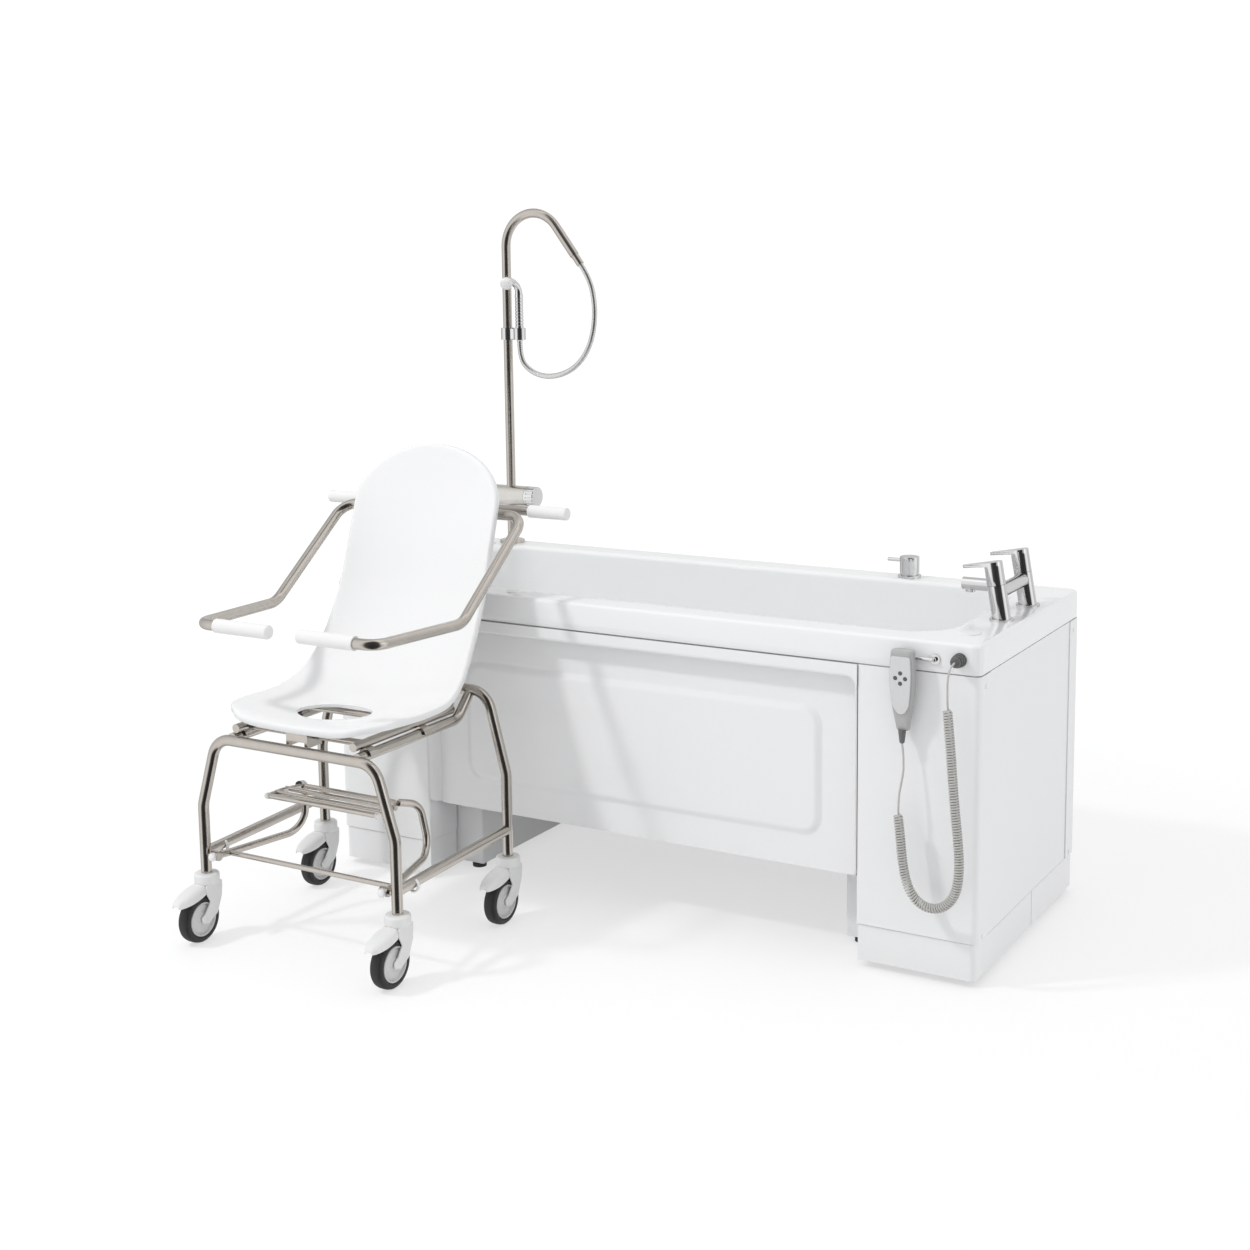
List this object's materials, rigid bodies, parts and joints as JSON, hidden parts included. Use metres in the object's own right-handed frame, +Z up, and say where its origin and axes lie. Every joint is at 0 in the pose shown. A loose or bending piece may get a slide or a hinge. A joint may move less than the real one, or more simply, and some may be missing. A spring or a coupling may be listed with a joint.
{
  "type": "assisted bath with transfer chair",
  "caption": "Height-adjustable assisted bath with corner-column base, bath filler, shower column and wired handset, with a wheeled transfer chair in front.",
  "frame": {"origin": "on the floor at the centre of the four floor-bolt holes, under the middle of the bath", "axes": "+X along the bath towards the taps, +Y from the chair towards the wall side, +Z up"},
  "size_m": [1.7356, 1.3491, 1.6695],
  "materials": {
    "frame_grey": "powder coated",
    "foot_rubber": "matt",
    "column_steel": "brushed",
    "housing_white": "satin",
    "panel_white": "gloss",
    "box_grey": "matt",
    "tub_white": "high gloss",
    "cradle_steel": "powder coated",
    "apron_white": "gloss",
    "waste_chrome": "polished",
    "cap_white": "gloss",
    "chrome": "polished",
    "fitting_grey": "satin chrome",
    "hose_steel": "wound metal",
    "rubber_black": "matt",
    "handset_grey": "satin",
    "button_dark": "satin",
    "lead_grey": "satin",
    "chair_steel": "satin stainless",
    "shell_white": "gloss",
    "grip_white": "satin",
    "castor_grey": "satin",
    "wheel_black": "matt",
    "pedal_white": "satin"
  },
  "bodies": {
    "floor_base": {"base_frame": "frame_grey", "levelling_feet": "foot_rubber", "column_sleeves": "column_steel", "column_housings": "housing_white", "plinth_head_end": "panel_white", "plinth_tap_end": "panel_white", "control_box": "box_grey"},
    "tub_carriage": {"bath_tub": "tub_white", "tub_cradle": "cradle_steel", "front_apron": "apron_white", "rear_panel": "apron_white", "front_cover_left": "panel_white", "front_cover_right": "panel_white", "rear_covers": "panel_white", "end_panels": "panel_white", "waste_and_overflow": "waste_chrome", "blanking_caps": "cap_white", "bath_taps": "chrome", "shower_column": "chrome", "shower_mixer": "chrome", "shower_holder": "fitting_grey", "hand_shower": "fitting_grey", "shower_hose": "hose_steel", "hanger_bar": "chrome", "cable_gland": "rubber_black", "control_handset": "handset_grey", "lead_upper": "lead_grey", "lead_coil": "lead_grey", "lead_lower": "lead_grey"},
    "chair_chassis": {"chassis": "chair_steel"},
    "footrest": {"footrest": "chair_steel"},
    "seat_unit": {"seat_frame": "chair_steel", "seat_shell": "shell_white", "push_grips": "grip_white"},
    "left_armrest": {"armrest_left": "chair_steel", "arm_grip_left": "grip_white"},
    "right_armrest": {"armrest_right": "chair_steel", "arm_grip_right": "grip_white"},
    "tap_lever_front": {"tap_lever_front": "chrome"},
    "tap_lever_rear": {"tap_lever_rear": "chrome"},
    "rim_knob": {"rim_knob": "chrome"},
    "mixer_knob_left": {"mixer_knob_left": "chrome"},
    "mixer_knob_right": {"mixer_knob_right": "chrome"},
    "button_up": {"button_up": "button_dark"},
    "button_down": {"button_down": "button_dark"},
    "button_left": {"button_left": "button_dark"},
    "button_right": {"button_right": "button_dark"},
    "castor_front_left": {"castor_fork_front_left": "castor_grey"},
    "wheel_front_left": {"castor_wheel_front_left": "wheel_black"},
    "brake_front_left": {"brake_pedal_front_left": "pedal_white"},
    "castor_front_right": {"castor_fork_front_right": "castor_grey"},
    "wheel_front_right": {"castor_wheel_front_right": "wheel_black"},
    "brake_front_right": {"brake_pedal_front_right": "pedal_white"},
    "castor_rear_left": {"castor_fork_rear_left": "castor_grey"},
    "wheel_rear_left": {"castor_wheel_rear_left": "wheel_black"},
    "brake_rear_left": {"brake_pedal_rear_left": "pedal_white"},
    "castor_rear_right": {"castor_fork_rear_right": "castor_grey"},
    "wheel_rear_right": {"castor_wheel_rear_right": "wheel_black"},
    "brake_rear_right": {"brake_pedal_rear_right": "pedal_white"}
  },
  "joints": [
    {"name": "bath_lift", "type": "slide", "parent": "floor_base", "child": "tub_carriage", "axis": [0, 0, 1], "range_m": [0, 0.18]},
    {"name": "front_tap_turn", "type": "hinge", "parent": "tub_carriage", "child": "tap_lever_front", "pos_m": [0.803, -0.078, 0.748], "axis": [-0.1736, 0, 0.9848], "range_deg": [0, 90]},
    {"name": "rear_tap_turn", "type": "hinge", "parent": "tub_carriage", "child": "tap_lever_rear", "pos_m": [0.803, 0.102, 0.748], "axis": [-0.1736, 0, 0.9848], "range_deg": [-90, 0]},
    {"name": "rim_knob_turn", "type": "hinge", "parent": "tub_carriage", "child": "rim_knob", "pos_m": [0.435, 0.305, 0.77], "axis": [0, 0, 1], "range_deg": [0, 90]},
    {"name": "mixer_flow_turn", "type": "hinge", "parent": "tub_carriage", "child": "mixer_knob_left", "pos_m": [-0.82, 0.305, 0.88], "axis": [1, 0, 0], "range_deg": [0, 90]},
    {"name": "mixer_heat_turn", "type": "hinge", "parent": "tub_carriage", "child": "mixer_knob_right", "pos_m": [-0.675, 0.305, 0.88], "axis": [1, 0, 0], "range_deg": [-135, 135]},
    {"name": "press_up", "type": "slide", "parent": "tub_carriage", "child": "button_up", "axis": [0, 1, 0], "range_m": [0, 0.001], "stiffness_N_per_m": 400},
    {"name": "press_down", "type": "slide", "parent": "tub_carriage", "child": "button_down", "axis": [0, 1, 0], "range_m": [0, 0.001], "stiffness_N_per_m": 400},
    {"name": "press_left", "type": "slide", "parent": "tub_carriage", "child": "button_left", "axis": [0, 1, 0], "range_m": [0, 0.001], "stiffness_N_per_m": 400},
    {"name": "press_right", "type": "slide", "parent": "tub_carriage", "child": "button_right", "axis": [0, 1, 0], "range_m": [0, 0.001], "stiffness_N_per_m": 400},
    {"name": "chair_roll", "type": "slide", "parent": "floor_base", "child": "chair_chassis", "axis": [0, -1, 0], "range_m": [0, 0.5]},
    {"name": "seat_lift", "type": "slide", "parent": "chair_chassis", "child": "seat_unit", "axis": [0, 0, 1], "range_m": [0, 0.15]},
    {"name": "footrest_swing", "type": "hinge", "parent": "chair_chassis", "child": "footrest", "pos_m": [-0.53, -0.898, 0.2], "axis": [1, 0, 0], "range_deg": [0, 160]},
    {"name": "left_armrest_swing", "type": "hinge", "parent": "seat_unit", "child": "left_armrest", "pos_m": [-0.705, -0.362, 0.946], "axis": [1, 0, 0], "range_deg": [-105, 0]},
    {"name": "right_armrest_swing", "type": "hinge", "parent": "seat_unit", "child": "right_armrest", "pos_m": [-0.355, -0.362, 0.946], "axis": [1, 0, 0], "range_deg": [-105, 0]},
    {"name": "swivel_front_left", "type": "hinge", "parent": "chair_chassis", "child": "castor_front_left", "pos_m": [-0.805, -0.898, 0.14], "axis": [0, 0, 1], "continuous": true},
    {"name": "roll_front_left", "type": "hinge", "parent": "castor_front_left", "child": "wheel_front_left", "pos_m": [-0.805, -0.93, 0.055], "axis": [1, 0, 0], "continuous": true},
    {"name": "brake_front_left_press", "type": "hinge", "parent": "castor_front_left", "child": "brake_front_left", "pos_m": [-0.805, -0.917, 0.123], "axis": [1, 0, 0], "range_deg": [0, 10]},
    {"name": "swivel_front_right", "type": "hinge", "parent": "chair_chassis", "child": "castor_front_right", "pos_m": [-0.255, -0.898, 0.14], "axis": [0, 0, 1], "continuous": true},
    {"name": "roll_front_right", "type": "hinge", "parent": "castor_front_right", "child": "wheel_front_right", "pos_m": [-0.255, -0.93, 0.055], "axis": [1, 0, 0], "continuous": true},
    {"name": "brake_front_right_press", "type": "hinge", "parent": "castor_front_right", "child": "brake_front_right", "pos_m": [-0.255, -0.917, 0.123], "axis": [1, 0, 0], "range_deg": [0, 10]},
    {"name": "swivel_rear_left", "type": "hinge", "parent": "chair_chassis", "child": "castor_rear_left", "pos_m": [-0.805, -0.473, 0.14], "axis": [0, 0, 1], "continuous": true},
    {"name": "roll_rear_left", "type": "hinge", "parent": "castor_rear_left", "child": "wheel_rear_left", "pos_m": [-0.805, -0.505, 0.055], "axis": [1, 0, 0], "continuous": true},
    {"name": "brake_rear_left_press", "type": "hinge", "parent": "castor_rear_left", "child": "brake_rear_left", "pos_m": [-0.805, -0.492, 0.123], "axis": [1, 0, 0], "range_deg": [0, 10]},
    {"name": "swivel_rear_right", "type": "hinge", "parent": "chair_chassis", "child": "castor_rear_right", "pos_m": [-0.255, -0.473, 0.14], "axis": [0, 0, 1], "continuous": true},
    {"name": "roll_rear_right", "type": "hinge", "parent": "castor_rear_right", "child": "wheel_rear_right", "pos_m": [-0.255, -0.505, 0.055], "axis": [1, 0, 0], "continuous": true},
    {"name": "brake_rear_right_press", "type": "hinge", "parent": "castor_rear_right", "child": "brake_rear_right", "pos_m": [-0.255, -0.492, 0.123], "axis": [1, 0, 0], "range_deg": [0, 10]}
  ]
}
